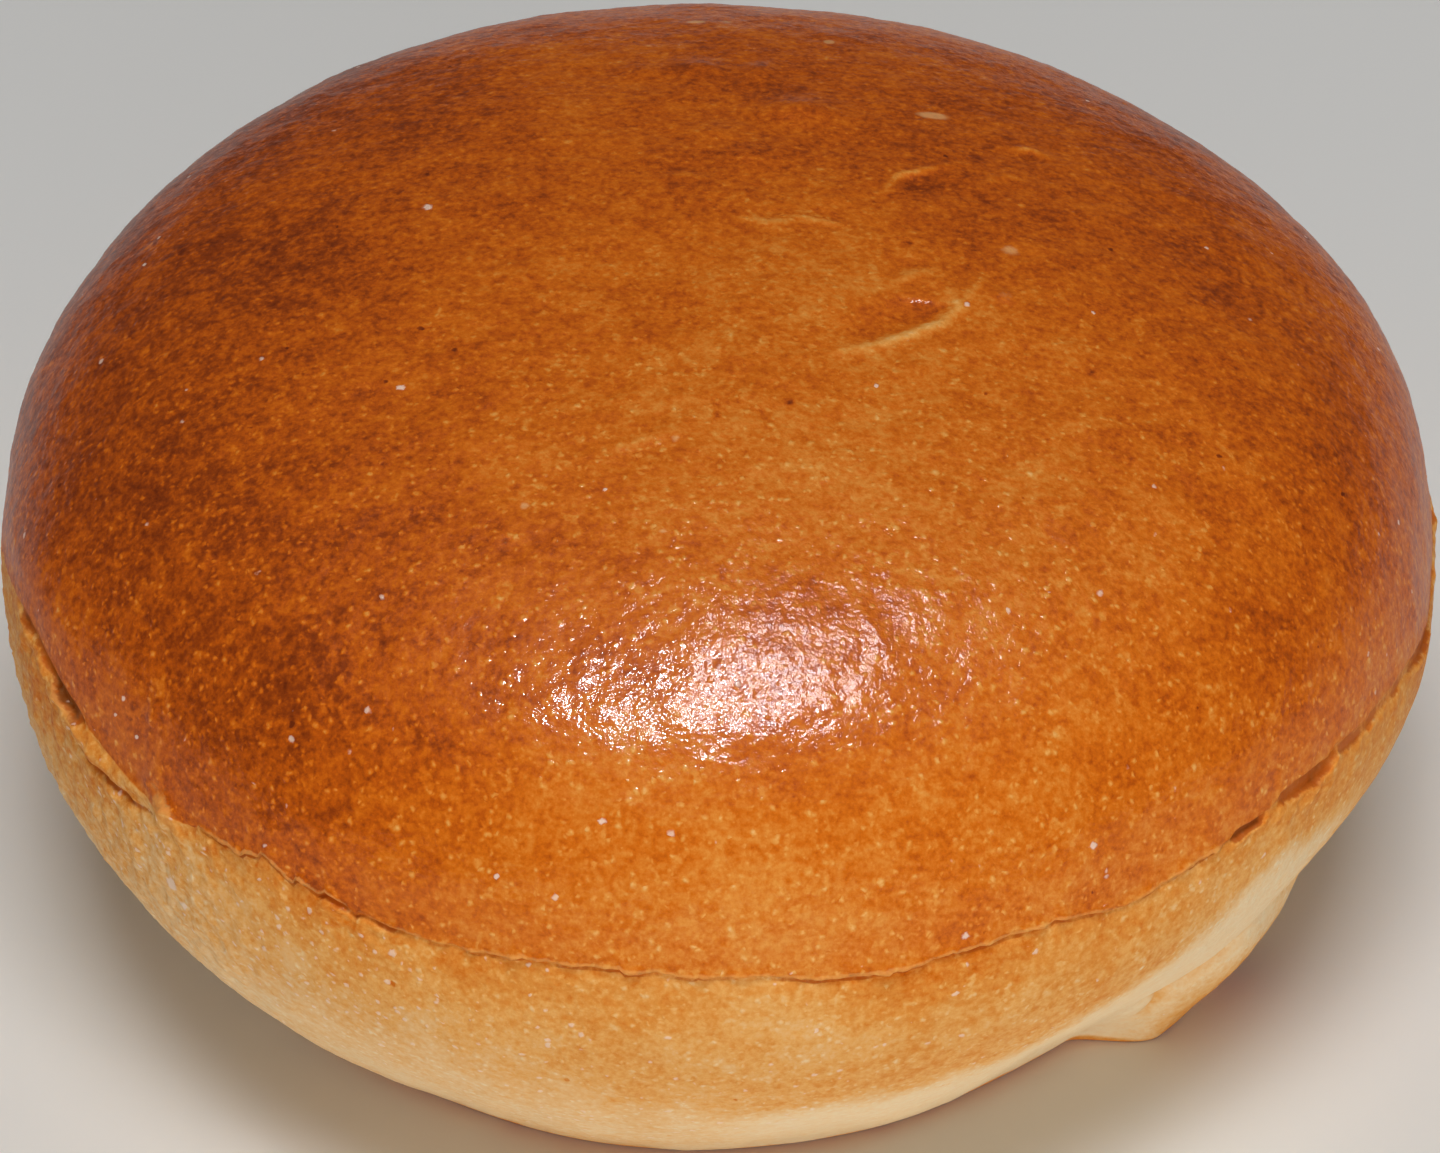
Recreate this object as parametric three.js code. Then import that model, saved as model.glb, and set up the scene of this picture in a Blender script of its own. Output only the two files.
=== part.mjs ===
// A round glazed burger bun, baked as one piece: a domed top crust, a seam where that crust overhangs
// a paler band, a wall that tapers in to a flat base, and a pinch of dough at the foot of the wall.
// Millimetres, +Z up. The origin is the centre of the flat base. Azimuths are in degrees from +X
// towards +Y.
import * as THREE from "three";

// Driving dimensions
const WIDEST_RADIUS = 55;
const WIDEST_HEIGHT = 27;
const HEIGHT = 54;
const BASE_RADIUS = 39.6;
const SEAM_HEIGHT = 31.7;

// How full the section is. Each pair of handles shapes one curve, as shares of the width and height
// that the curve covers.
const WALL_HANDLES = { footOut: 0.34, footUp: 0.2, widestUp: 0.55 };
const DOME_HANDLES = { shoulderUp: 0.72, crownOut: 0.7 };

// Steps of the faceted surface
const SIDES = 84;
const WALL_STEPS = 18;
const DOME_STEPS = 22;
const BASE_RING = 0.55 * BASE_RADIUS;

// The seam: a thin lip all round, and under it a groove that deepens where the crust tore free.
const LIP = 0.35;
const LIP_THICKNESS = 0.5;
const SHALLOW_GROOVE = 0.5;
const TEARS = [
  { azimuth: -20, spread: 30, depth: 1.5 },
  { azimuth: -157, spread: 14, depth: 1.5 },
  { azimuth: 110, spread: 26, depth: 0.9 },
];

// The seam isn't level: it rises and falls round the bun, and the wall near it follows.
const SWAY_REACH = 7;
const SWAYS = [
  { azimuth: -8, spread: 11, rise: -3 },
  { azimuth: -38, spread: 10, rise: 0.9 },
  { azimuth: -57, spread: 5, rise: -0.7 },
  { azimuth: -78, spread: 8, rise: -1 },
  { azimuth: -110, spread: 7, rise: -0.4 },
  { azimuth: -125, spread: 7, rise: 1.2 },
  { azimuth: -156, spread: 11, rise: 3.4 },
  { azimuth: 75, spread: 18, rise: 0.8 },
  { azimuth: 128, spread: 22, rise: -0.6 },
];

// The pinch: a fold of dough that stands out at the foot, between two azimuths with a soft start and
// end. It gets thicker and taller on the way.
const PINCH = {
  start: -42.1,
  end: -23,
  fade: 8,
  nearReach: 4.6,
  farReach: 4.9,
  nearTop: 7.5,
  farTop: 11.5,
  fullness: 0.8,
};

// Shallow hollows in the wall: two over the pinch, and two low at the front
const HOLLOWS = [
  { azimuth: -55, spread: 14, height: 10, heightSpread: 8.5, depth: 2.6 },
  { azimuth: -32, spread: 14, height: 17, heightSpread: 7, depth: 1.3 },
  { azimuth: -116, spread: 9, height: 8, heightSpread: 8, depth: 0.7 },
  { azimuth: -80, spread: 9, height: 8, heightSpread: 8, depth: 0.4 },
];

// How far the bun is from round, as shares of its radius
const OVAL = 0.004;
const THREE_LOBED = 0.004;

// The foot is off centre, and the dome leans, rising by a share of the way towards -X.
const FOOT_SHIFT = { azimuth: -130, reach: 0.8 };
const LEAN = 0.012;

// A bell of height 1 round zero.
function bell(distance, spread) {
  return Math.exp(-((distance / spread) ** 2));
}

// The same bell round the azimuth of a spot.
function bellRound(azimuth, spot) {
  const apart = THREE.MathUtils.euclideanModulo(azimuth - spot.azimuth + 180, 360) - 180;
  return bell(apart, spot.spread);
}

// The total of one measure of some spots at an azimuth.
function totalRound(azimuth, spots, measure) {
  return spots.reduce((sum, spot) => sum + spot[measure] * bellRound(azimuth, spot), 0);
}

// The wall, from the rim of the base out and up to the widest level.
function wallPoints() {
  const undercut = WIDEST_RADIUS - BASE_RADIUS;
  const curve = new THREE.CubicBezierCurve(
    new THREE.Vector2(BASE_RADIUS, 0),
    new THREE.Vector2(BASE_RADIUS + WALL_HANDLES.footOut * undercut, WALL_HANDLES.footUp * WIDEST_HEIGHT),
    new THREE.Vector2(WIDEST_RADIUS, WALL_HANDLES.widestUp * WIDEST_HEIGHT),
    new THREE.Vector2(WIDEST_RADIUS, WIDEST_HEIGHT),
  );
  return curve.getPoints(WALL_STEPS);
}

// The dome, from the widest level up to the middle of the crown.
function domePoints() {
  const rise = HEIGHT - WIDEST_HEIGHT;
  const curve = new THREE.CubicBezierCurve(
    new THREE.Vector2(WIDEST_RADIUS, WIDEST_HEIGHT),
    new THREE.Vector2(WIDEST_RADIUS, WIDEST_HEIGHT + DOME_HANDLES.shoulderUp * rise),
    new THREE.Vector2(DOME_HANDLES.crownOut * WIDEST_RADIUS, HEIGHT),
    new THREE.Vector2(0, HEIGHT),
  );
  return curve.getPoints(DOME_STEPS);
}

// Half of the section, from the middle of the base round to the middle of the crown. It also gives the
// places in the list where the wall starts and where the groove is.
function section() {
  const base = [new THREE.Vector2(0, 0), new THREE.Vector2(BASE_RING, 0)];
  const wall = wallPoints();
  const dome = domePoints();
  const seamRadius = dome[1].x;
  const grooveHeight = SEAM_HEIGHT - LIP_THICKNESS;
  const seam = [
    new THREE.Vector2(seamRadius, grooveHeight - LIP_THICKNESS),
    new THREE.Vector2(seamRadius, grooveHeight),
    new THREE.Vector2(seamRadius + LIP, SEAM_HEIGHT),
  ];
  const crust = dome.filter((point) => point.y > SEAM_HEIGHT + LIP_THICKNESS);
  return {
    points: [...base, ...wall, ...seam, ...crust],
    wallStart: base.length,
    groove: base.length + wall.length + 1,
  };
}

// How far the pinch stands out from the wall at an azimuth and a height.
function pinchReach(azimuth, height) {
  const { smoothstep, lerp } = THREE.MathUtils;
  const half = PINCH.fade / 2;
  const share = smoothstep(azimuth, PINCH.start - half, PINCH.start + half) *
    (1 - smoothstep(azimuth, PINCH.end - half, PINCH.end + half));
  const across = smoothstep(azimuth, PINCH.start, (PINCH.start + PINCH.end) / 2);
  const reach = lerp(PINCH.nearReach, PINCH.farReach, across);
  const top = lerp(PINCH.nearTop, PINCH.farTop, across);
  return share * reach * Math.max(0, 1 - height / top) ** PINCH.fullness;
}

// How far the wall stands out, or is hollowed, at an azimuth and a height.
function wallBulge(azimuth, height) {
  const hollow = HOLLOWS.reduce((sum, spot) =>
    sum + spot.depth * bellRound(azimuth, spot) * bell(height - spot.height, spot.heightSpread), 0);
  const shift = FOOT_SHIFT.reach * Math.cos(THREE.MathUtils.degToRad(azimuth - FOOT_SHIFT.azimuth)) *
    Math.max(0, 1 - height / WIDEST_HEIGHT) ** 2;
  return pinchReach(azimuth, height) - hollow + shift;
}

// Where a point of the section goes at one azimuth.
function placed(point, place, azimuth, { wallStart, groove }) {
  const angle = THREE.MathUtils.degToRad(azimuth);
  let radius = point.x;
  if (place >= wallStart) radius += wallBulge(azimuth, point.y);
  if (place === groove) radius -= SHALLOW_GROOVE + totalRound(azimuth, TEARS, "depth");
  radius *= 1 + OVAL * Math.sin(2 * angle) + THREE_LOBED * Math.cos(3 * angle);
  const x = radius * Math.cos(angle);
  const y = radius * Math.sin(angle);
  const sway = totalRound(azimuth, SWAYS, "rise") * bell(point.y - SEAM_HEIGHT, SWAY_REACH);
  const lean = -LEAN * x * THREE.MathUtils.smoothstep(point.y, WIDEST_HEIGHT, HEIGHT);
  return new THREE.Vector3(x, y, point.y + sway + lean);
}

// The section turned about the upright axis, then each of its points put where the real bun has it.
function bunGeometry() {
  const half = section();
  const geometry = new THREE.LatheGeometry(half.points, SIDES);
  const position = geometry.getAttribute("position");
  for (let i = 0; i < position.count; i++) {
    const place = i % half.points.length;
    const side = Math.floor(i / half.points.length) % SIDES;
    const spot = placed(half.points[place], place, (360 * side) / SIDES - 180, half);
    position.setXYZ(i, spot.x, spot.y, spot.z);
  }
  geometry.computeVertexNormals();
  return geometry;
}

const crust = new THREE.MeshStandardMaterial({ color: 0xc26a22, roughness: 0.4, metalness: 0 });
const bun = new THREE.Mesh(bunGeometry(), crust);
bun.name = "bun";

const burgerBun = new THREE.Group();
burgerBun.add(bun);

export default burgerBun;
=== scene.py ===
import math
from collections import namedtuple

import bpy
import numpy as np
from mathutils import Matrix, Vector, noise


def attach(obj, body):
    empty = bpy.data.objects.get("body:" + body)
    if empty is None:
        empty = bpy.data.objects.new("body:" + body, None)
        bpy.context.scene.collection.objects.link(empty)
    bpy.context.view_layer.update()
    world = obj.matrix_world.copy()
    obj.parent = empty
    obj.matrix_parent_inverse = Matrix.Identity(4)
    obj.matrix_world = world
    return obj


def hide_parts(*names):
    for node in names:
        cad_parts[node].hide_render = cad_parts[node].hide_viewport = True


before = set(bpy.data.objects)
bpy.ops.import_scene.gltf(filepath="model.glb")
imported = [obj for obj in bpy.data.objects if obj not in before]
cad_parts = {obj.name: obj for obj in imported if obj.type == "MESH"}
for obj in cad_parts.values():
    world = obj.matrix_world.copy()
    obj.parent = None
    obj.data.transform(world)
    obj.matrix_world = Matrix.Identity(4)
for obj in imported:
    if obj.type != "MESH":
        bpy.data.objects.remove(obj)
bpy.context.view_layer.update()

# ---------------------------------------------------------------- dimensions
MM = 0.001
HEIGHT = 54.0
WIDEST_RADIUS = 55.0
WIDEST_HEIGHT = 27.0
BASE_RADIUS = 39.6
SEAM_HEIGHT = 31.7

# How full the section is: where the handles of its two curves are, as shares of the width and height
# that each curve covers
FOOT_OUT, FOOT_UP, WIDEST_UP = 0.34, 0.2, 0.55
SHOULDER_UP, CROWN_OUT = 0.72, 0.7

# The mesh: points in its widest rings, the radii inside which rings have half as many, and the spacing
# of the rings on the skin, on the flat of the base, and from below to above the seam. The outline is
# sampled at a finer step.
SIDES = 1024
HALVING_RADII = (30, 15, 7.5, 3.7)
SKIN_STEP = 0.34
BASE_STEP = 1.1
FLAT_RADIUS = BASE_RADIUS - 2
SEAM_STEP = 0.13
SEAM_REACH = (-3.4, 1.4)
SAMPLE_STEP = 0.02

# How far the bun is from round, from level and from centred
OVAL = 0.004
THREE_LOBED = 0.004
FOOT_SHIFT = 0.8
FOOT_SHIFT_AZIMUTH = -130
LEAN = 0.012

Spot = namedtuple("Spot", "azimuth spread amount")
SWAY_REACH = 7.0
SWAYS = (
    Spot(-8, 11, -3.0), Spot(-38, 10, 0.9), Spot(-57, 5, -0.7), Spot(-78, 8, -1.0), Spot(-110, 7, -0.4),
    Spot(-125, 7, 1.2), Spot(-156, 11, 3.4), Spot(75, 18, 0.8), Spot(128, 22, -0.6),
)

# Stretches of the seam, from one azimuth to another with soft ends. In a lip the crust overhangs the
# band by a step. In a gap they have torn apart: the ledge is how far the ragged edge of the band stands
# out below it, and the darkness is 1 for orange crumb and 2 for a deep brown painted shadow.
Lip = namedtuple("Lip", "start end fade step")
LIPS = (Lip(-131, -48, 4, 0.2), Lip(50, 176, 20, 0.25))
Gap = namedtuple("Gap", "start end fade depth width ledge darkness")
GAPS = (
    Gap(-157.5, -145.6, 2.6, 0.4, 0.9, 0.35, 1.7),
    Gap(-119.4, -112.6, 1.2, 0.3, 0.45, 0.3, 1.0),
    Gap(-47.4, -43.8, 1.4, 0.4, 0.5, 0.15, 1.5),
    Gap(-42.0, -35.0, 3.0, 0.4, 1.15, 0.3, 1.2),
    Gap(-34.5, 45, 6, 0.2, 0.95, 0.15, 0.85),
)

# Flakes of the seam's edge: from one azimuth to another, each starts that far up and ends as far down.
Flake = namedtuple("Flake", "start end rise")
FLAKES = (
    Flake(-131, -126.2, 0.5), Flake(-124.8, -121.3, 0.75), Flake(-121.2, -119.2, 0.35),
    Flake(-119, -116.1, 0.45), Flake(-115.9, -112.6, 0.1), Flake(-110.9, -108.5, -0.12),
    Flake(-105, -103.2, -0.15), Flake(-101.5, -96.1, -0.25), Flake(-96, -93.9, -0.15),
    Flake(-93.9, -91, 0.2), Flake(-86, -82, 0.15), Flake(-76, -72, -0.15), Flake(-64, -57.6, 0.25),
    Flake(-57.6, -52, -0.15), Flake(-47.4, -43.8, 0.2), Flake(-42, -35.2, 0.4), Flake(-34.8, -29, 0.3),
)

# The pinch of dough at the foot, from one azimuth to another, and the hollows in the wall: two over
# the pinch, and two low at the front. Under the base, both fade out over a stretch towards the middle.
PINCH_START, PINCH_END, PINCH_FADE = -42.1, -23, 8
PINCH_REACH, PINCH_FAR_REACH = 4.6, 4.9
PINCH_TOP, PINCH_FAR_TOP = 7.5, 11.5
PINCH_FULLNESS = 0.8
BULGE_FADE = 12
Hollow = namedtuple("Hollow", "azimuth spread depth height height_spread")
HOLLOWS = (
    Hollow(-55, 14, 2.6, 10.0, 8.5), Hollow(-32, 14, 1.3, 17.0, 7.0), Hollow(-116, 9, 0.7, 8.0, 8.0),
    Hollow(-80, 9, 0.4, 8.0, 8.0),
)

# ---------------------------------------------------------------- small maths


def bell(distance, spread):
    return np.exp(-((distance / spread) ** 2))


def smooth(value, low, high):
    """0 below low, 1 above high, and a smooth step between."""
    t = np.clip((value - low) / (high - low), 0, 1)
    return t * t * (3 - 2 * t)


def turned(azimuth, centre):
    """How far an azimuth is round from a centre, in degrees from -180 to 180."""
    return (azimuth - centre + 180) % 360 - 180


def total(azimuth, spots):
    return sum(spot.amount * bell(turned(azimuth, spot.azimuth), spot.spread) for spot in spots)


def window(azimuth, start, end, fade):
    """1 from start to end and 0 outside, with soft ends."""
    half = fade / 2
    return smooth(azimuth, start - half, start + half) * (1 - smooth(azimuth, end - half, end + half))


def rough(points, wavelength, octaves, seed):
    """Repeatable noise at each point, about -1 to 1, with features about one wavelength across."""
    shift = Vector((seed * 13.7, seed * 7.1, seed * 3.3))
    spots = points / wavelength
    return np.array([noise.fractal(Vector(p) + shift, 1.0, 2.0, octaves) for p in spots])


def path_distance(points, path):
    """Each point's distance to a flat path, how far along it is (0 to 1), and 1 on its left or -1."""
    path = np.array(path, float)
    steps = np.diff(path, axis=0)
    lengths = np.linalg.norm(steps, axis=1)
    before = np.cumsum(lengths) - lengths
    nearest = np.full(len(points), np.inf)
    along = np.zeros(len(points))
    side = np.ones(len(points))
    for start, step, length, done in zip(path, steps, lengths, before):
        apart = points - start
        share = np.clip(apart @ step / length**2, 0, 1)
        distance = np.linalg.norm(apart - share[:, None] * step, axis=1)
        closer = distance < nearest
        nearest[closer] = distance[closer]
        along[closer] = (done + share * length)[closer] / lengths.sum()
        side[closer] = np.sign(step[0] * apart[:, 1] - step[1] * apart[:, 0])[closer]
    return nearest, along, side


# ---------------------------------------------------------------- the section and its rings


def bezier(a, b, c, d, count=400):
    t = np.linspace(0, 1, count)[:, None]
    a, b, c, d = (np.array(p, float) for p in (a, b, c, d))
    return (1 - t) ** 3 * a + 3 * (1 - t) ** 2 * t * b + 3 * (1 - t) * t**2 * c + t**3 * d


def outline():
    """Half of the section as close points, from the middle of the base to the middle of the crown."""
    undercut = WIDEST_RADIUS - BASE_RADIUS
    rise = HEIGHT - WIDEST_HEIGHT
    widest = (WIDEST_RADIUS, WIDEST_HEIGHT)
    foot = (BASE_RADIUS + FOOT_OUT * undercut, FOOT_UP * WIDEST_HEIGHT)
    wall = bezier((BASE_RADIUS, 0), foot, (WIDEST_RADIUS, WIDEST_UP * WIDEST_HEIGHT), widest)
    shoulder = (WIDEST_RADIUS, WIDEST_HEIGHT + SHOULDER_UP * rise)
    dome = bezier(widest, shoulder, (CROWN_OUT * WIDEST_RADIUS, HEIGHT), (0, HEIGHT))
    return np.vstack([[(0, 0)], wall, dome[1:]])


def section():
    """The radius, height, slope and run of each ring, and its distance above the seam along the skin.

    The run is the distance along the skin from the middle of the base, as a share of the whole.
    """
    points = outline()
    run = np.concatenate([[0], np.cumsum(np.linalg.norm(np.diff(points, axis=0), axis=1))])
    fine = np.arange(0, run[-1], SAMPLE_STEP)
    radius = np.interp(fine, run, points[:, 0])
    height = np.interp(fine, run, points[:, 1])
    above = fine - np.interp(SEAM_HEIGHT, points[:, 1], run)
    spacing = np.where(fine < FLAT_RADIUS, BASE_STEP, SKIN_STEP)
    spacing = np.where((above > SEAM_REACH[0]) & (above < SEAM_REACH[1]), SEAM_STEP, spacing)
    count = np.cumsum(SAMPLE_STEP / spacing)
    places = np.interp(np.arange(1, int(count[-1])), count, fine)
    slope = np.arctan2(np.gradient(height, fine), np.gradient(radius, fine))
    return [np.interp(places, fine, values) for values in (radius, height, slope, fine / run[-1], above)]


def sides_at(radius):
    """How many points a ring of this radius has: half as many inside each of the halving radii."""
    sides = SIDES
    for limit in HALVING_RADII:
        if radius < limit:
            sides //= 2
    return sides


Grid = namedtuple("Grid", "azimuth radius height slope run above faces")


def grid():
    """The points of the skin before any relief, ring by ring, and the faces between them."""
    radius, height, slope, run, above = section()
    counts = [sides_at(r) for r in radius]
    starts = 1 + np.concatenate([[0], np.cumsum(counts)])
    azimuth = np.concatenate([[0]] + [np.arange(n) * 360 / n - 180 for n in counts] + [[0]])

    def spread(values, first, last):
        return np.concatenate([[first]] + [np.full(n, v) for n, v in zip(counts, values)] + [[last]])

    faces = [(0, starts[0] + (i + 1) % counts[0], starts[0] + i) for i in range(counts[0])]
    for ring, (inner, outer) in enumerate(zip(counts[:-1], counts[1:])):
        faces += ring_faces(starts[ring], inner, starts[ring + 1], outer)
    last, end = starts[-2], starts[-1]
    faces += [(last + i, last + (i + 1) % counts[-1], end) for i in range(counts[-1])]
    return Grid(
        azimuth, spread(radius, 0, 0), spread(height, 0, HEIGHT), spread(slope, 0, math.pi),
        spread(run, 0, 1), spread(above, above[0] - BASE_STEP, above[-1] + SKIN_STEP), faces,
    )


def ring_faces(low, low_count, high, high_count):
    """Faces between two rings. Where one ring has twice the points, each face takes one more of them."""
    count = min(low_count, high_count)
    low_step, high_step = low_count // count, high_count // count
    faces = []
    for i in range(count):
        lower = [low + (i * low_step + k) % low_count for k in range(low_step + 1)]
        upper = [high + (i * high_step + k) % high_count for k in range(high_step, -1, -1)]
        faces.append(tuple(lower + upper))
    return faces


# ---------------------------------------------------------------- the plain shape


def pinch_share(azimuth):
    return window(azimuth, PINCH_START, PINCH_END, PINCH_FADE)


def wall_bulge(azimuth, height):
    """The pinch at the foot of the wall, the hollows above it, and the foot's place off centre."""
    across = smooth(azimuth, PINCH_START, (PINCH_START + PINCH_END) / 2)
    reach = PINCH_REACH + (PINCH_FAR_REACH - PINCH_REACH) * across
    top = PINCH_TOP + (PINCH_FAR_TOP - PINCH_TOP) * across
    pinch = reach * pinch_share(azimuth) * np.clip(1 - height / top, 0, 1) ** PINCH_FULLNESS
    hollows = sum(
        hollow.depth * bell(turned(azimuth, hollow.azimuth), hollow.spread)
        * bell(height - hollow.height, hollow.height_spread)
        for hollow in HOLLOWS
    )
    low = np.clip(1 - height / WIDEST_HEIGHT, 0, 1) ** 2
    return pinch - hollows + FOOT_SHIFT * np.cos(np.radians(azimuth - FOOT_SHIFT_AZIMUTH)) * low


def plain_shape(mesh):
    """Where each point is before the relief, and which way the skin faces there."""
    angle = np.radians(mesh.azimuth)
    outward = np.stack([np.cos(angle), np.sin(angle), 0 * angle], 1)
    up = np.array([0, 0, 1.0])
    facing = outward * np.sin(mesh.slope)[:, None] - up * np.cos(mesh.slope)[:, None]
    off_middle = smooth(mesh.radius, BASE_RADIUS - BULGE_FADE, BASE_RADIUS)
    radius = mesh.radius + off_middle * wall_bulge(mesh.azimuth, mesh.height)
    radius = radius * (1 + OVAL * np.sin(2 * angle) + THREE_LOBED * np.cos(3 * angle))
    sway = total(mesh.azimuth, SWAYS) * bell(mesh.height - SEAM_HEIGHT, SWAY_REACH)
    lean = -LEAN * radius * np.cos(angle) * smooth(mesh.height, WIDEST_HEIGHT, HEIGHT)
    return outward * radius[:, None] + up * (mesh.height + sway + lean)[:, None], facing


# ---------------------------------------------------------------- the seam


# How far the seam's line wanders slowly, and how tall its small teeth are
SEAM_WANDER = 0.15
SEAM_TEETH = 0.13

# A lip's crust swells gently towards the seam, then sharply at its edge: the share and reach of each.
LIP_SWELL, LIP_SWELL_REACH = 0.6, 2.2
LIP_EDGE, LIP_EDGE_REACH = 0.4, 0.35

# How far the skin goes in under a lip, as a share of the lip's step, how uneven the lip is along the
# seam, how torn its edge is, and how dark the painted shadow under it is
LIP_UNDERCUT = 0.9
LIP_RAGGED = 0.6
LIP_TORN = 0.85
LIP_SHADOW = 0.6

# The share of its width that a gap keeps at its ends, and how uneven it is along the seam. The ledge
# below it fades out downwards over a reach, is uneven too, and is torn all over if it is this high.
GAP_NARROWEST = 0.2
GAP_RAGGED = 0.5
LEDGE_REACH = 1.4
LEDGE_RAGGED = 0.6
LEDGE_TORN_HEIGHT = 0.5


def seam_rise(azimuth):
    """The ragged line of the seam: a slow wander, small teeth, and flakes that start with a jump."""
    angle = np.radians(azimuth)
    ring = np.stack([np.cos(angle), np.sin(angle), 0 * angle], 1) * WIDEST_RADIUS
    rise = SEAM_WANDER * rough(ring, wavelength=7.0, octaves=2, seed=1)
    rise += SEAM_TEETH * rough(ring, wavelength=1.3, octaves=3, seed=2)
    for flake in FLAKES:
        along = (azimuth - flake.start) / (flake.end - flake.start)
        rise += np.where((along >= 0) & (along < 1), flake.rise * (1 - 2 * along), 0)
    return rise


def lip_relief(lip, azimuth, above, ragged):
    """A lip's relief, how torn its edge is, and how dark the painted shadow in the thin groove under it
    is.
    """
    over = above >= 0
    depth = np.abs(above)
    edge = np.exp(-depth / LIP_EDGE_REACH)
    crust = LIP_SWELL * np.exp(-depth / LIP_SWELL_REACH) + LIP_EDGE * edge
    share = window(azimuth, lip.start, lip.end, lip.fade) * (1 + LIP_RAGGED * ragged)
    relief = share * lip.step * np.where(over, crust, -LIP_UNDERCUT * edge)
    torn = LIP_TORN * share * np.where(over, smooth(above, 0.7, 0.1), 0)
    groove = LIP_SHADOW * share * np.where(over, 0, smooth(above, -0.46, -0.28))
    return relief, torn, groove


def gap_relief(gap, azimuth, above, ragged):
    """A gap's relief, how torn the ledge below it is, and how dark its floor is: orange crumb, darkening
    to painted shadow.
    """
    share = window(azimuth, gap.start, gap.end, gap.fade) * np.clip(1 + GAP_RAGGED * ragged, 0, 1.5)
    width = gap.width * (GAP_NARROWEST + (1 - GAP_NARROWEST) * share)
    floor = smooth(above, -width - 0.3, -width + 0.1) * (1 - smooth(above, -0.15, 0.4))
    edge = np.where(above < -width, np.exp(-np.abs(above + width) / LEDGE_REACH), 0)
    relief = share * (gap.ledge * edge * (1 + LEDGE_RAGGED * ragged) - gap.depth * floor)
    return relief, share * edge * gap.ledge / LEDGE_TORN_HEIGHT, gap.darkness * share * floor


def seam_relief(azimuth, above, ragged):
    """How far the skin stands out near the seam, how torn it is, and how dark the groove is, by its crumb
    colour and painted shadow.
    """
    parts = [lip_relief(lip, azimuth, above, ragged) for lip in LIPS]
    parts += [gap_relief(gap, azimuth, above, ragged) for gap in GAPS]
    reliefs, torn, groove = zip(*parts)
    return sum(reliefs), np.max(torn, axis=0), np.max(groove, axis=0)


# ---------------------------------------------------------------- folds and creases in the skin

# A crease runs along a path of (x, y) points: a thin raised lip, with a dip on its left. The creases
# are all within a certain depth of the crown.
CREASE_DEPTH = 9
Crease = namedtuple("Crease", "path lip lip_width dip dip_width")
CREASES = (
    Crease(((8.6, -12.4), (11.1, -11.3), (13.3, -9.9), (15.9, -8.1), (17.3, -6.2), (16.6, -4.5)),
           0.26, 0.5, 0.26, 1.8),
    Crease(((17.2, -6.3), (18.4, -4.0), (19.0, -2.6)), 0.12, 0.4, 0.0, 1.0),
    Crease(((16.6, 12.2), (14.5, 10.9), (12.9, 10.1), (12.0, 7.6)), 0.2, 0.4, 0.2, 1.5),
    Crease(((5.4, 3.5), (7.2, 3.1), (8.7, 2.7)), 0.15, 0.3, 0.1, 0.9),
    Crease(((1.4, 3.4), (3.4, 2.6), (5.0, 3.1)), 0.1, 0.4, 0.05, 0.9),
    Crease(((12.6, -3.9), (13.5, -3.0), (15.4, -1.8)), 0.15, 0.4, 0.1, 0.9),
    Crease(((24.5, 16.0), (23.4, 16.6), (22.0, 16.2)), 0.2, 0.4, 0.2, 1.2),
    Crease(((22.0, 12.2), (20.6, 11.4), (19.4, 9.4)), 0.1, 0.5, 0.1, 1.2),
    Crease(((-3.0, -21.4), (-4.8, -22.3), (-7.4, -23.4)), 0.09, 0.5, 0.1, 1.3),
    Crease(((-4.6, 8.2), (-3.0, 8.8), (-1.2, 8.2)), 0.1, 0.5, 0.1, 1.0),
)

# A fold of the wall runs along a path of (azimuth, height) points. Its rise is below 0 for a groove.
# A fold's groove is how dark a painted shadow lies in it, and its last number is painted shade along it
Fold = namedtuple("Fold", "path rise width torn groove browned")
FOLDS = (
    Fold(((-147, 31.2), (-145.7, 30.4), (-143.8, 30.0), (-140.5, 30.1), (-137.5, 30.2), (-136, 30.6)),
         -0.5, 0.35, 0.0, 1.25, 0.0),
    Fold(((-146.3, 32.4), (-145.2, 31.7), (-143.9, 31.3), (-141.2, 31.2)), 0.4, 0.65, 0.6, 0, 0),
    Fold(((-141.2, 31.3), (-138.5, 31.6), (-136.0, 31.7)), 0.25, 0.6, 0.2, 0, 0),
    Fold(((-135.6, 33.3), (-134.5, 32.3), (-133.0, 31.2)), 0.6, 1.15, 1.0, 0, 0),
    Fold(((-43, 7.4), (-41, 8.0), (-38.5, 9.2), (-36, 10.6), (-33, 12.4)), -0.55, 0.8, 0, 0, 0.34),
    Fold(((-41.6, 8.2), (-41.2, 6.2), (-41.8, 4.4)), -0.5, 0.6, 0, 0, 0.34),
    Fold(((-138.5, 39.5), (-137.5, 36.0)), 0.12, 0.35, 0.5, 0, 0),
)


def crease_relief(place):
    """The creases of the crown: their relief, how pale their lips leave the skin, and the painted shade in
    their dips.
    """
    relief, pale, dark = (np.zeros(len(place)) for _ in range(3))
    top = np.flatnonzero(place[:, 2] > HEIGHT - CREASE_DEPTH)
    plan = place[top, :2]
    for crease in CREASES:
        distance, along, side = path_distance(plan, crease.path)
        taper = np.sin(np.pi * np.clip(along, 0.06, 0.94)) ** 0.5
        lip = bell(distance, crease.lip_width) * taper
        dip = bell(side * distance - crease.dip_width, crease.dip_width) * np.sin(np.pi * along)
        dip = dip * (distance < 4 * crease.dip_width) * (crease.dip > 0)
        relief[top] += crease.lip * lip - crease.dip * dip
        pale[top] = np.maximum(pale[top], lip * min(1, crease.lip / 0.3))
        dark[top] = np.maximum(dark[top], dip * min(1, crease.dip / 0.5))
    return relief, pale, dark


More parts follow.
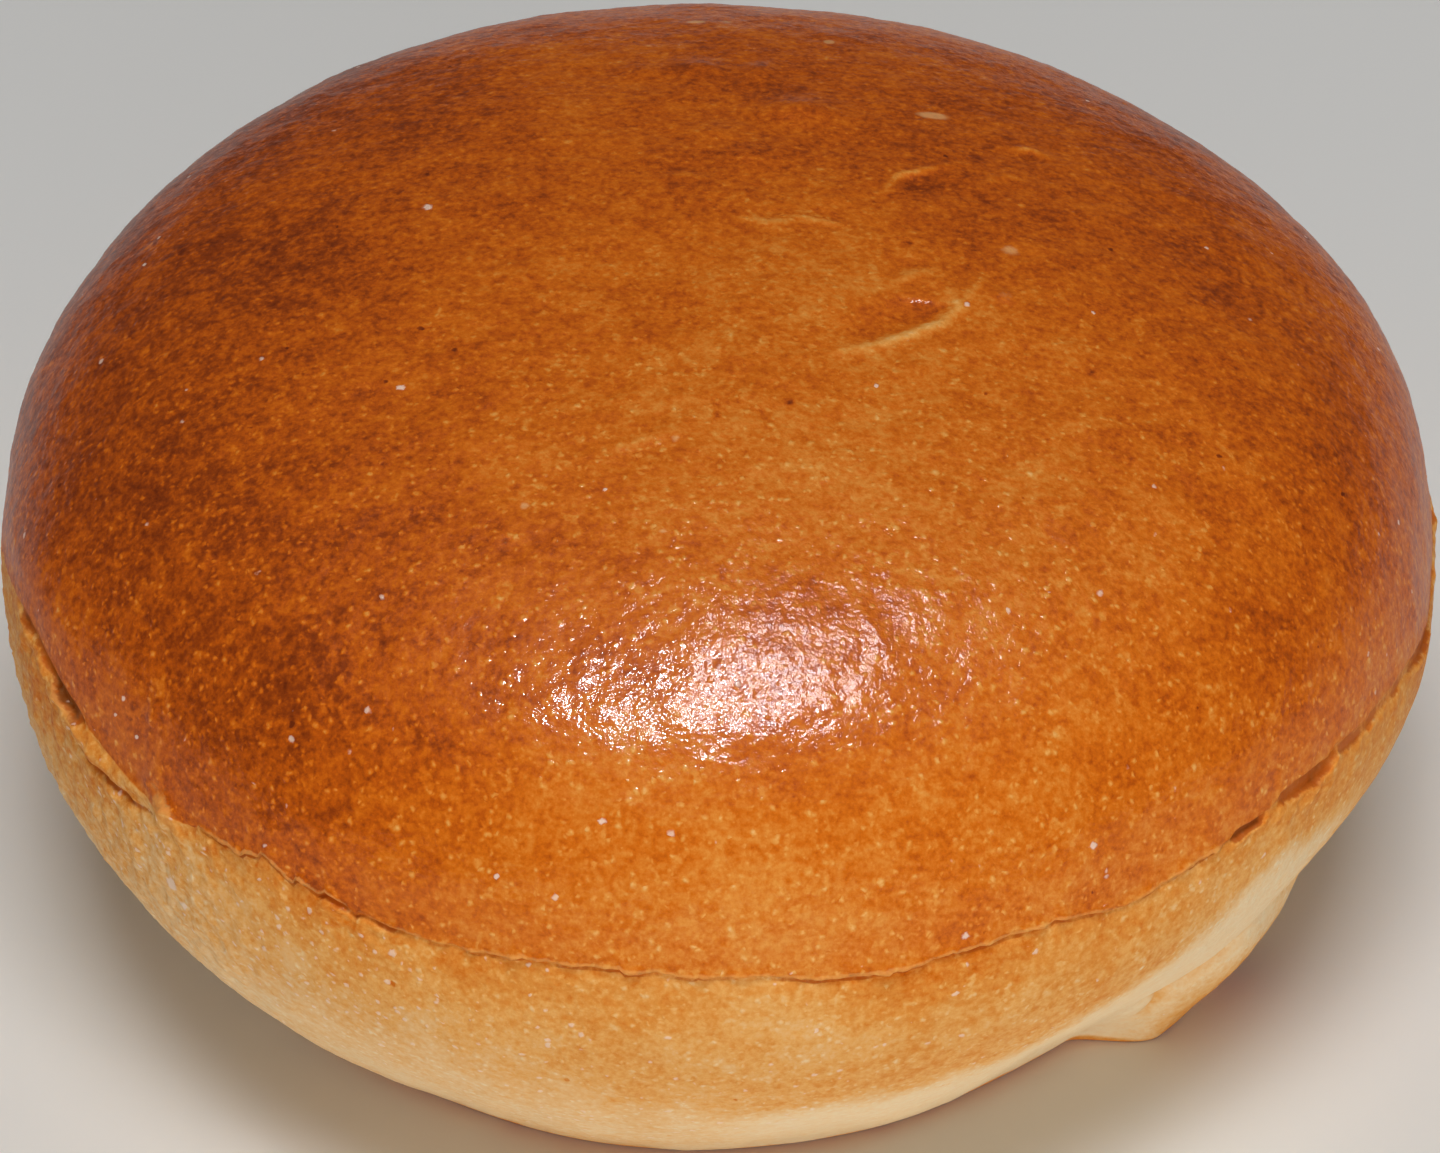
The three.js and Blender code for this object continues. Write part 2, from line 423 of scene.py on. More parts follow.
def fold_relief(azimuth, place):
    """The folds near the seam and the foot: their relief, how torn they are, and the painted shadow and
    painted shade in their grooves.
    """
    relief, torn, groove, browned = (np.zeros(len(place)) for _ in range(4))
    per_degree = math.radians(WIDEST_RADIUS)
    flat = np.stack([azimuth * per_degree, place[:, 2]], 1)
    for fold in FOLDS:
        path = [(a * per_degree, z) for a, z in fold.path]
        low, high = np.min(path, axis=0) - 4, np.max(path, axis=0) + 4
        near = np.flatnonzero(np.all((flat > low) & (flat < high), axis=1))
        distance, along, _ = path_distance(flat[near], path)
        share = bell(distance, fold.width) * np.sin(np.pi * np.clip(along, 0.1, 0.9)) ** 0.5
        relief[near] += fold.rise * share
        torn[near] = np.maximum(torn[near], fold.torn * share)
        groove[near] = np.maximum(groove[near], fold.groove * share)
        browned[near] += fold.browned * share
    return relief, torn, groove, browned


# ---------------------------------------------------------------- bumps, scars and flour

# Blisters of the crown: place in plan, half-lengths along X and Y, and rise
Blister = namedtuple("Blister", "x y long wide rise")
BLISTERS = (
    Blister(5.6, 19.0, 3.6, 2.2, 0.5), Blister(-2.1, 25.5, 2.3, 1.7, 0.35),
    Blister(2.6, 25.2, 1.3, 2.0, 0.35), Blister(-0.6, 15.4, 2.4, 1.8, 0.25),
    Blister(2.0, 11.8, 2.8, 2.6, 0.3), Blister(-6.8, 24.8, 2.2, 1.5, 0.2),
    Blister(20.6, -4.4, 0.9, 0.9, 0.2),
)

# Pale scars, where the glaze is broken: place in plan and half-lengths
Scar = namedtuple("Scar", "x y long wide strength")
SCARS = (
    Scar(15.9, 20.0, 1.25, 0.55, 1.0), Scar(21.2, 1.4, 0.8, 0.7, 0.75), Scar(20.7, -4.4, 0.9, 0.8, 0.5),
    Scar(-2.6, 35.9, 0.9, 0.5, 0.9), Scar(-0.1, 36.0, 0.8, 0.5, 0.6), Scar(8.0, 32.4, 0.5, 0.5, 0.9),
    Scar(-3.1, -22.4, 0.35, 0.35, 0.8), Scar(-13.5, -28.5, 0.4, 0.35, 0.8),
    Scar(-3.8, -31.0, 0.35, 0.25, 0.8),
)

# Broad tints of the dome: place in plan, spread, and how much browner or, below 0, paler the skin is
Tint = namedtuple("Tint", "x y spread browner")
TINTS = (
    Tint(8, -18, 17, -0.075), Tint(7, -9, 7, -0.03), Tint(22, -24, 8, -0.03), Tint(-34, -12, 9, -0.05),
    Tint(-10, -26, 8, -0.02), Tint(12, 14, 16, 0.05), Tint(28, 4, 9, 0.05), Tint(40, -20, 12, 0.035),
    Tint(-16, -45, 7, 0.04), Tint(28, -45, 9, 0.04),
)

# Dark specks of the crown: place in plan and radius
Speck = namedtuple("Speck", "x y radius")
SPECKS = (
    Speck(4.9, -18.3, 0.3), Speck(-0.2, -20.0, 0.26), Speck(26.8, -11.7, 0.3), Speck(-22.4, 9.6, 0.24),
    Speck(13.6, 1.0, 0.24),
)

# Grains of flour: place and radius
Grain = namedtuple("Grain", "x y z radius")
GRAINS = (
    Grain(-22.2, 5.1, 52.5, 0.45), Grain(-22.9, -16.2, 51.6, 0.4), Grain(-38.2, -39.7, 25.6, 0.7),
    Grain(-37.6, -40.6, 23.6, 0.5), Grain(17.7, -51.5, 32.6, 0.35), Grain(50.6, -12.2, 39.1, 0.3),
    Grain(26.5, -46.3, 36.4, 0.4), Grain(-7.5, -49.9, 41.4, 0.35), Grain(-43.6, 5.4, 46.7, 0.3),
    Grain(36.4, 7.5, 49.2, 0.3), Grain(17.7, -5.8, 52.8, 0.28), Grain(-7.9, -27.1, 52.0, 0.25),
    Grain(11.2, -15.9, 52.9, 0.25), Grain(27.2, -4.8, 51.4, 0.25), Grain(-41.3, -33.0, 36.8, 0.3),
    Grain(-42.2, -33.2, 35.6, 0.2), Grain(-40.6, -35.4, 35.2, 0.24), Grain(-14.5, -50.6, 37.0, 0.25),
)


# Fine flour on the wall: how thickly it lies in the middle of each patch, and on the dome
Dust = namedtuple("Dust", "azimuth spread height height_spread share")
DUST = (Dust(-120, 8, 25.5, 5.0, 0.95), Dust(-137, 8, 28.5, 3.5, 0.5), Dust(-100, 50, 17, 12.0, 0.18))
DOME_DUST = 0.012


def plan_distance(place, spot, long=1.0, wide=1.0):
    """How far each point is from a spot in plan, as shares of the spot's half-lengths along X and Y."""
    return np.hypot((place[:, 0] - spot.x) / long, (place[:, 1] - spot.y) / wide)


def blister_relief(place):
    """How far the blisters raise the crown."""
    relief = np.zeros(len(place))
    for blister in BLISTERS:
        across = plan_distance(place, blister, blister.long, blister.wide)
        relief += blister.rise * bell(across, 0.85) * (place[:, 2] > HEIGHT / 2)
    return relief


def speck_share(place):
    """1 in the middle of each dark speck."""
    share = np.zeros(len(place))
    for speck in SPECKS:
        spot = bell(plan_distance(place, speck), speck.radius)
        share = np.maximum(share, spot * (place[:, 2] > HEIGHT / 2))
    return share


def scar_share(place):
    """How strong each pale scar is: all of its strength in the middle, and half of it at the edge."""
    share = np.zeros(len(place))
    for scar in SCARS:
        across = plan_distance(place, scar, scar.long, scar.wide)
        share = np.maximum(share, scar.strength * bell(across, 1.2) * (place[:, 2] > HEIGHT / 2))
    return share


def flour_share(place):
    """1 in the middle of each grain of flour, which lies on the point of the skin nearest its place."""
    share = np.zeros(len(place))
    for grain in GRAINS:
        nearest = np.argmin(np.linalg.norm(place - (grain.x, grain.y, grain.z), axis=1))
        distance = np.linalg.norm(place - place[nearest], axis=1)
        share = np.maximum(share, bell(distance, grain.radius))
    return share


def tint(place):
    """How much browner or paler than even the dome is."""
    return sum(spot.browner * bell(plan_distance(place, spot), spot.spread) for spot in TINTS)


def dust_share(azimuth, height, above):
    """How thickly fine flour lies on the skin: most low on the left of the wall."""
    share = sum(
        patch.share * bell(turned(azimuth, patch.azimuth), patch.spread)
        * bell(height - patch.height, patch.height_spread)
        for patch in DUST
    )
    return np.where(above < 0, share, DOME_DUST * smooth(above, 40, 10))


# ---------------------------------------------------------------- the whole skin

# The relief of the crust all over: how far its swells, lumps and pebbles stand out, how far the crumb
# of torn bread does, and how deep the dents that a tray leaves in the base are
SWELL, LUMP, PEBBLE = 0.3, 0.1, 0.05
CRUMB = 0.28
TRAY_DENT = 0.15

# The stretch of the band that is crumbly all over, and by how much
CRUMBLY_START, CRUMBLY_END, CRUMBLY_FADE = -168, -126, 16
CRUMBLY_SHARE = 0.65

# The strip that stayed pale: from one azimuth to another with soft ends, and the share of its browning
# that it lost
PALE_START, PALE_END, PALE_FADE = -88, -32, 16
PALE_LOSS = 0.8

# Browning, from 0 for raw cream to 1 for deep brown: of the dome, of the band just under the seam, and
# of the rim of the base
DOME_BROWNING = 0.84
BAND_BROWNING = 0.64
RIM_BROWNING = 0.62

# How much browner or, below 0, paler places on the dome are: its sides, its edge along the seam, how
# much more that edge is so in front, and how far its browning drifts up and down
DOME_FRONT, DOME_LEFT, DOME_BACK, DOME_RIGHT = -0.17, 0.12, 0.04, 0.05
DOME_EDGE, DOME_FRONT_EDGE = -0.1, 0.2
DOME_DRIFT = 0.05

# The same for places on the band: its middle, its foot, its right, its left, the lower part of its
# left, and the pinch
BAND_MIDDLE, BAND_FOOT, BAND_RIGHT = -0.12, -0.17, 0.05
BAND_LEFT, BAND_LEFT_LOWER = 0.03, -0.17
BAND_PINCH = 0.45
BAND_DRIFT = 0.13

# The same for the marks in the skin; the darker crease dips are painted shade
CREASE_DIP_SHADE, CREASE_LIP_BROWNING = 0.2, -0.34
SPECK_BROWNING = 0.3


def skin(mesh):
    """Each point's place, and the named measures that the finish needs at each point."""
    azimuth, height, above = mesh.azimuth, mesh.height, mesh.above
    plain, facing = plain_shape(mesh)
    swell = rough(plain, wavelength=22.0, octaves=2, seed=3)
    lumps = rough(plain, wavelength=5.0, octaves=2, seed=4)
    pebbles = rough(plain, wavelength=1.3, octaves=3, seed=5)
    seam, torn, groove = seam_relief(azimuth, above, lumps + 0.6 * pebbles)
    crease, crease_pale, crease_dip_shade = crease_relief(plain)
    fold, fold_torn, fold_groove, fold_painted_shade = fold_relief(azimuth, plain)
    torn = np.maximum(torn, fold_torn)
    groove = np.maximum(groove, fold_groove)

    off_base = smooth(height, 0.0, 2.0)
    crumbly = window(azimuth, CRUMBLY_START, CRUMBLY_END, CRUMBLY_FADE)
    crumbly = crumbly * smooth(above, 0.2, -0.2) * smooth(height, 8, 20)
    crumb = np.maximum(torn, CRUMBLY_SHARE * crumbly)
    relief = SWELL * swell + LUMP * lumps + PEBBLE * pebbles + crumb * CRUMB * pebbles
    relief = off_base * (relief + seam + crease + fold + blister_relief(plain))
    rise = seam_rise(azimuth) * bell(above, 2.2)
    place = plain + facing * relief[:, None]
    place[:, 2] = np.maximum(place[:, 2] + rise, 0)
    place[:, 2] += TRAY_DENT * np.clip(lumps, 0, None) * (1 - off_base) * (mesh.radius < FLAT_RADIUS)
    brown = browning(azimuth, height, above, plain, lumps)
    # The crease dips are darkened by painted shade
    brown += CREASE_DIP_SHADE * crease_dip_shade + CREASE_LIP_BROWNING * crease_pale
    # The pinch's folds are darkened by painted shade
    brown += SPECK_BROWNING * speck_share(plain) + fold_painted_shade
    measures = {
        "browning": brown,
        "gloss": gloss(azimuth, height, above) * (1 - np.clip(1.6 * crease_dip_shade, 0, 0.95)),
        "crumb": crumb,
        "torn": torn,
        "scar": scar_share(plain),
        # How dark the seam's grooves are: crumb colour, and painted shadow under the lips and deep in the
        # gaps
        "groove": groove,
        "flour": flour_share(plain),
        "dust": dust_share(azimuth, height, above),
        "flecks": fleck_density(height, above, plain),
    }
    return place, measures


def pale_share(azimuth, height, lumps):
    """The strip low on the right of the wall that was pressed against another bun and stayed pale."""
    edge = 26.3 - 8.7 * smooth(-azimuth, 40, 72) + 1.2 * lumps
    return smooth(edge - height, -1.4, 3.6) * window(azimuth + 4 * lumps, PALE_START, PALE_END, PALE_FADE)


def dome_browning(azimuth, above, place, drift):
    """How brown the dome is: browner towards the left, the right and the back, and palest in front."""
    x, y = place[:, 0], place[:, 1]
    front_share = bell(turned(azimuth, -89), 26) * (1 - smooth(above, 0, 24))
    near_seam = np.exp(-np.abs(above) / 4)
    dome = DOME_BROWNING + DOME_FRONT * front_share + DOME_LEFT * smooth(-x, 8, 34)
    dome = dome + DOME_BACK * smooth(y, 0, 40) + DOME_RIGHT * smooth(x, 18, 40) * smooth(y, -25, -5)
    dome = dome + near_seam * (DOME_EDGE + DOME_FRONT_EDGE * front_share)
    return dome + DOME_DRIFT * drift + tint(place)


def band_browning(azimuth, height, above, lumps, drift):
    """How brown the band is: paler downwards, most of all at the left, and brown again on the pinch."""
    below = -(above + 1.2 * drift)
    left_share = window(azimuth, -172, -104, 22)
    right_share = window(azimuth, -84, -62, 14)
    band = BAND_BROWNING + BAND_MIDDLE * smooth(below, 0, 8) + BAND_FOOT * smooth(below, 8, 26)
    band = band + BAND_DRIFT * drift + BAND_RIGHT * right_share
    band = band + left_share * (BAND_LEFT + BAND_LEFT_LOWER * smooth(below, 3, 15))
    band = band * (1 - PALE_LOSS * pale_share(azimuth, height, lumps))
    return band + BAND_PINCH * pinch_share(azimuth) * smooth(azimuth, -44, -37) * smooth(height, 11, 3)


def browning(azimuth, height, above, place, lumps):
    """How brown the skin is, from 0 for raw cream to 1 for deep brown."""
    drift = rough(place, wavelength=15.0, octaves=3, seed=6)
    dome = dome_browning(azimuth, above, place, drift)
    band = band_browning(azimuth, height, above, lumps, drift)
    brown = np.where(above > 0, dome, band)
    rim_top = 1.3 - 0.8 * pinch_share(azimuth)
    rim = smooth(height + 0.2 * lumps, rim_top, rim_top - 0.6)
    return brown * (1 - rim) + RIM_BROWNING * rim


def gloss(azimuth, height, above):
    """How much glaze the skin has: all over the dome, thin on the band, and none on pale dough."""
    glaze = 0.3 + 0.7 * smooth(above, -1.0, 2.0)
    return glaze * (1 - 0.7 * pale_share(azimuth, height, 0)) * smooth(height, 0.3, 3)


def fleck_density(height, above, place):
    """How many pale flecks the skin has: most low on the front of the dome and on the band."""
    front = smooth(-place[:, 1], -5, 35)
    share = np.where(above < 0, 0.85, 0.25 + 0.75 * front)
    return share * smooth(height, 2, 14)


# ---------------------------------------------------------------- the crust's finish


def linear(red, green, blue):
    """A colour given as it looks, from 0 to 255, as the light values that shaders take."""
    def channel(value):
        value = value / 255
        return value / 12.92 if value <= 0.04045 else ((value + 0.055) / 1.055) ** 2.4
    return (channel(red), channel(green), channel(blue), 1.0)


def connect(tree, value, socket):
    """Links a socket to another, or sets it to a value."""
    if isinstance(value, bpy.types.NodeSocket):
        tree.links.new(value, socket)
    else:
        socket.default_value = value


def node(tree, kind, inputs, **settings):
    """A shader node with its settings and inputs, which are named or numbered."""
    made = tree.nodes.new(kind)
    for name, value in settings.items():
        setattr(made, name, value)
    for name, value in inputs.items():
        connect(tree, value, made.inputs[name])
    return made


def maths(tree, operation, a, b):
    return node(tree, "ShaderNodeMath", {0: a, 1: b}, operation=operation).outputs[0]


def scaled(tree, value, factor, offset=0.0):
    """The value times a factor, plus an offset."""
    inputs = {0: value, 1: factor, 2: offset}
    return node(tree, "ShaderNodeMath", inputs, operation="MULTIPLY_ADD").outputs[0]


def centred(tree, value, amount):
    """A noise field of 0 to 1 turned into one of -amount/2 to amount/2."""
    return scaled(tree, value, amount, -amount / 2)


def added(tree, *values):
    result = values[0]
    for value in values[1:]:
        result = maths(tree, "ADD", result, value)
    return result


def per_mm(wavelength):
    """A texture scale whose features are this many millimetres across."""
    return 1 / (wavelength * MM)


def noise_field(tree, coordinates, wavelength, detail=2.0, roughness=0.5):
    return node(
        tree, "ShaderNodeTexNoise",
        {"Vector": coordinates, "Scale": per_mm(wavelength), "Detail": detail, "Roughness": roughness},
    ).outputs["Fac"]


def ramp(tree, value, stops):
    """The colour at a value between stops, which are pairs of a value and a colour."""
    made = node(tree, "ShaderNodeValToRGB", {"Fac": value})
    elements = made.color_ramp.elements
    while len(elements) < len(stops):
        elements.new(0.5)
    for element, (position, colour) in zip(elements, stops):
        element.position = position
        element.color = colour
    return made.outputs["Color"]


def step(tree, value, low, high):
    """0 below low and 1 above high, or the other way round if low is above high."""
    inputs = {"Value": value, "From Min": low, "From Max": high}
    return node(tree, "ShaderNodeMapRange", inputs, interpolation_type="SMOOTHSTEP").outputs[0]


def mix(tree, share, a, b):
    """Colour a turning into colour b as the share goes from 0 to 1. Sockets 6, 7 and 2 are the colours."""
    return node(tree, "ShaderNodeMix", {"Factor": share, 6: a, 7: b}, data_type="RGBA").outputs[2]


def flecks(tree, coordinates, spacing, radius, chosen, softness):
    """Round flecks, up to a radius and with soft edges, in that share of the cells of that spacing."""
    cells = node(tree, "ShaderNodeTexVoronoi", {"Vector": coordinates, "Scale": per_mm(spacing)})
    draw = node(tree, "ShaderNodeSeparateColor", {"Color": cells.outputs["Color"]})
    limit = maths(tree, "MULTIPLY", draw.outputs[1], radius / spacing)
    depth = maths(tree, "SUBTRACT", limit, cells.outputs["Distance"])
    inside = step(tree, depth, 0.0, softness * radius / spacing)
    return maths(tree, "MULTIPLY", inside, maths(tree, "LESS_THAN", draw.outputs[0], chosen))


# The colour at each browning, up to the brownest, and the colours of what isn't whole skin
BROWNEST = 1.12
BROWNING_STOPS = (
    (0.0, linear(252, 226, 184)),
    (0.2, linear(250, 214, 162)),
    (0.36, linear(246, 196, 132)),
    (0.5, linear(242, 176, 96)),
    (0.62, linear(234, 152, 64)),
    (0.72, linear(226, 130, 40)),
    (0.8, linear(218, 110, 14)),
    (0.9, linear(194, 87, 7)),
    (1.0, linear(150, 62, 7)),
    (BROWNEST, linear(112, 42, 6)),
)
TORN_COLOUR = linear(240, 170, 92)
# The groove colour is partly the orange crumb in the gaps and partly painted shadow under the lips
CRUMB_AND_SHADOW_COLOUR = linear(190, 88, 20)
# The deep colour is painted shadow, deep in the darkest gaps
DEEP_SHADOW_COLOUR = linear(120, 44, 10)
SCAR_COLOUR = linear(244, 186, 122)
FLOUR_COLOUR = linear(255, 226, 204)


# Layers of noise: the width of their features, their detail and roughness, and how much they count. The
# mottle makes the skin browner and paler, and the grain raises it.
Layer = namedtuple("Layer", "wavelength detail roughness amount")
MOTTLE = (Layer(8, 3, 0.5, 0.1), Layer(2.6, 3, 0.5, 0.2), Layer(0.9, 4, 0.65, 0.34))
GRAIN = (Layer(0.3, 2, 0.5, 0.34), Layer(0.7, 2, 0.5, 0.6), Layer(2.2, 2, 0.5, 0.5))
GRAIN_HEIGHT = 0.1

# How much browner or, below 0, paler the finest marks leave whole skin
STREAK_BROWNING = 0.13
RAGGED_BROWNING = 0.36
DOT_BROWNING, PALE_DOT_BROWNING = -0.05, -0.18
BLOT_BROWNING, PORE_BROWNING = -0.13, 0.22

# How much of the skin's colour each of these hides
# The groove's share covers the skin with crumb colour and painted shadow
GROOVE_COVER, TORN_COVER, SCAR_COVER = 0.8, 0.55, 0.6
FLOUR_DUST_COVER, FLOUR_GRAIN_COVER = 0.6, 0.75

# How far each of these stands out from the grain or, below 0, is sunk in it
DOT_RISE, FLOUR_RISE, CRUMB_RISE = 0.32, 0.5, -0.9

# The share of the glaze that is gone where the skin is torn and where flour hides it
TORN_DULLING, FLOUR_DULLING = 0.7, 0.8

# The glaze: how glossy its coat is, and how much smoother it leaves the skin under it
COAT_WEIGHT = 0.38
COAT_ROUGHNESS = 0.08
DRY_ROUGHNESS = 0.75
GLAZED_ROUGHNESS = 0.5
SPECULAR = 0.06


def layer_noise(tree, coordinates, layer):
    return noise_field(tree, coordinates, layer.wavelength, layer.detail, layer.roughness)


def bent_places(tree, at):
    """Each place moved by up to 0.6 mm, so that round flecks come out uneven."""
    warp = node(tree, "ShaderNodeTexNoise", {"Vector": at, "Scale": per_mm(0.7), "Detail": 2})
    inputs = {0: warp.outputs["Color"], 1: (0.6 * MM,) * 3}
    wobble = node(tree, "ShaderNodeVectorMath", inputs, operation="MULTIPLY")
    return node(tree, "ShaderNodeVectorMath", {0: at, 1: wobble.outputs[0]}, operation="ADD").outputs[0]


def brush_streaks(tree, at):
    """Faint streaks in one direction, as a glazing brush leaves them."""
    inputs = {"Vector": at, "Rotation": (0, 0, -0.45), "Scale": (0.22, 1, 1)}
    stretched = node(tree, "ShaderNodeMapping", inputs).outputs[0]
    return noise_field(tree, stretched, wavelength=1.6, detail=3, roughness=0.6)


def browned_colour(tree, at, bent, measure, ragged, dots, crumbs):
    """The colour of whole skin: its browning, made uneven by mottle, streaks, flecks, blots and pores."""
    mottle = [centred(tree, layer_noise(tree, at, layer), layer.amount) for layer in MOTTLE]
    pale_dots = maths(tree, "MULTIPLY", dots, measure["flecks"])
    patches = noise_field(tree, bent, wavelength=1.3, detail=2, roughness=0.6)
    patchy = added(tree, patches, scaled(tree, measure["flecks"], 0.05))
    blots = step(tree, patchy, 0.62, 0.8)
    pores = flecks(tree, bent, spacing=2.4, radius=0.34, chosen=0.16, softness=0.5)
    streaks = centred(tree, brush_streaks(tree, at), STREAK_BROWNING)
    brown = added(
        tree, measure["browning"], *mottle, streaks, centred(tree, ragged, RAGGED_BROWNING), crumbs,
        scaled(tree, dots, DOT_BROWNING), scaled(tree, pale_dots, PALE_DOT_BROWNING),
        scaled(tree, blots, BLOT_BROWNING), scaled(tree, pores, PORE_BROWNING),
    )
    stops = [(browning / BROWNEST, colour) for browning, colour in BROWNING_STOPS]
    return ramp(tree, scaled(tree, brown, 1 / BROWNEST), stops)


def torn_field(tree, measure, ragged):
    """Where the skin is torn, with a ragged border."""
    return step(tree, added(tree, measure["torn"], centred(tree, ragged, 0.9)), 0.4, 0.8)


def broken_colour(tree, colour, bent, measure, ragged, torn):
    """The colour with the seam's grooves in crumb colour and painted shadow, the torn crumb and the pale
    scars over it.
    """
    broken = centred(tree, noise_field(tree, bent, wavelength=1.2, detail=3, roughness=0.6), 0.9)
    groove = step(tree, added(tree, measure["groove"], centred(tree, ragged, 0.4), broken), 0.35, 0.85)
    # The groove darkens from orange crumb to painted shadow where it is darkest
    shadow = mix(tree, step(tree, measure["groove"], 1.25, 1.8), CRUMB_AND_SHADOW_COLOUR, DEEP_SHADOW_COLOUR)
    colour = mix(tree, scaled(tree, groove, GROOVE_COVER), colour, shadow)
    colour = mix(tree, scaled(tree, torn, TORN_COVER), colour, TORN_COLOUR)
    scar = step(tree, added(tree, measure["scar"], centred(tree, ragged, 0.5)), 0.35, 0.75)
    return mix(tree, scaled(tree, scar, SCAR_COVER), colour, SCAR_COLOUR)


def flour_field(tree, bent, measure, ragged):
    """How much flour hides the skin: fine dust, and larger grains with a ragged outline."""
    dust = flecks(tree, bent, spacing=0.6, radius=0.34, chosen=measure["dust"], softness=0.5)
    grains = step(tree, added(tree, measure["flour"], centred(tree, ragged, 1.0)), 0.4, 0.7)
    dust = scaled(tree, dust, FLOUR_DUST_COVER)
    return maths(tree, "MAXIMUM", dust, scaled(tree, grains, FLOUR_GRAIN_COVER))


def fine_bump(tree, at, dots, flour, crumbs):
    """The grain of the crust, which is too fine for the mesh."""
    grain = [scaled(tree, layer_noise(tree, at, layer), layer.amount) for layer in GRAIN]
    heights = added(
        tree, *grain, scaled(tree, dots, DOT_RISE), scaled(tree, flour, FLOUR_RISE),
        scaled(tree, crumbs, CRUMB_RISE),
    )
    inputs = {"Height": heights, "Strength": 1.0, "Distance": GRAIN_HEIGHT * MM}
    return node(tree, "ShaderNodeBump", inputs).outputs[0]


def crust_material():
    material = bpy.data.materials.new("crust")
    material.use_nodes = True
    tree = material.node_tree
    tree.nodes.clear()
    at = node(tree, "ShaderNodeTexCoord", {}).outputs["Object"]
    measure = {
        name: node(tree, "ShaderNodeAttribute", {}, attribute_name=name).outputs["Fac"]
        for name in ("browning", "gloss", "torn", "crumb", "scar", "groove", "flour", "dust", "flecks")
    }
    bent = bent_places(tree, at)
    ragged = noise_field(tree, at, wavelength=0.5, detail=3, roughness=0.6)
    dots = flecks(tree, bent, spacing=0.55, radius=0.36, chosen=0.8, softness=0.9)
    crumb_noise = centred(tree, noise_field(tree, bent, wavelength=0.8, detail=3, roughness=0.65), 0.9)
    crumbs = maths(tree, "MULTIPLY", crumb_noise, measure["crumb"])

    torn = torn_field(tree, measure, ragged)
    flour = flour_field(tree, bent, measure, ragged)
    colour = browned_colour(tree, at, bent, measure, ragged, dots, crumbs)
    colour = broken_colour(tree, colour, bent, measure, ragged, torn)
    colour = mix(tree, flour, colour, FLOUR_COLOUR)

    bump = fine_bump(tree, at, dots, flour, crumbs)
    glaze = maths(tree, "MULTIPLY", measure["gloss"], scaled(tree, torn, -TORN_DULLING, 1.0))
    glaze = maths(tree, "MULTIPLY", glaze, scaled(tree, flour, -FLOUR_DULLING, 1.0))
    roughness = scaled(tree, glaze, GLAZED_ROUGHNESS - DRY_ROUGHNESS, DRY_ROUGHNESS)
    shader = node(
        tree, "ShaderNodeBsdfPrincipled",
        {
            "Base Color": colour, "Normal": bump, "Coat Normal": bump, "Roughness": roughness,
            "Coat Weight": scaled(tree, glaze, COAT_WEIGHT), "Coat Roughness": COAT_ROUGHNESS,
            "Specular IOR Level": SPECULAR,
        },
    )
    node(tree, "ShaderNodeOutputMaterial", {"Surface": shader.outputs[0]})
    return material


# ---------------------------------------------------------------- the piece

# Half the width and height of each disc of the bake map, as shares of the map
DISC_HALF_WIDE, DISC_HALF_TALL = 0.24, 0.48


def add_bake_map(mesh, mesh_grid):
    """A flat map of the skin, two discs side by side: all below the seam, and all above it."""
    seam_run = mesh_grid.run[mesh_grid.above < 0].max()
    corners = np.empty(len(mesh.loops), np.int32)
    mesh.loops.foreach_get("vertex_index", corners)
    sizes = np.empty(len(mesh.polygons), np.int32)
    mesh.polygons.foreach_get("loop_total", sizes)
    face_of = np.repeat(np.arange(len(sizes)), sizes)
    run, azimuth = mesh_grid.run[corners], np.radians(mesh_grid.azimuth[corners])
    face_run = np.bincount(face_of, run) / sizes
    on_top = (face_run > seam_run)[face_of]
    reach = np.where(on_top, (1 - run) / (1 - seam_run), run / seam_run)
    across = np.where(on_top, 0.75, 0.25) + DISC_HALF_WIDE * reach * np.cos(azimuth)
    up = 0.5 + DISC_HALF_TALL * reach * np.sin(azimuth) * np.where(on_top, 1, -1)
    layer = mesh.uv_layers.new(name="OFBake")
    layer.uv.foreach_set("vector", np.stack([across, up], 1).ravel().astype(np.float32))


def bun():
    """The bun as one mesh, with what its finish needs at each point."""
    mesh_grid = grid()
    place, measures = skin(mesh_grid)
    mesh = bpy.data.meshes.new("bun_skin")
    mesh.from_pydata((place * MM).tolist(), [], mesh_grid.faces)
    mesh.shade_smooth()
    for name, values in measures.items():
        mesh.attributes.new(name, "FLOAT", "POINT").data.foreach_set("value", values.astype(np.float32))
    add_bake_map(mesh, mesh_grid)
    mesh.materials.append(crust_material())
    made = bpy.data.objects.new("bun_skin", mesh)
    bpy.context.scene.collection.objects.link(made)
    return made


# ---------------------------------------------------------------- floor, light and camera

FLOOR_HALF = 2000
FLOOR_DROP = 0.1
FLOOR_COLOUR = linear(236, 235, 232)
WORLD_STRENGTH = 0.08

# The camera's elevation in degrees, its distance, how far it aims to the right of the bun's middle and
# below it, its roll in radians, and its lens and sensor
CAMERA_ELEVATION = 38.5
CAMERA_DISTANCE = 7 * WIDEST_RADIUS
AIM_RIGHT, AIM_BELOW = 0.25, 3.65
CAMERA_ROLL = 0.022
LENS, SENSOR = 124.7, 36


def aimed(spot, target, roll=0.0):
    """The matrix of a lamp or camera at a spot, in metres, facing a target."""
    turn = (Vector(target) - Vector(spot)).to_track_quat("-Z", "Y")
    return Matrix.Translation(spot) @ turn.to_matrix().to_4x4() @ Matrix.Rotation(roll, 4, "Z")


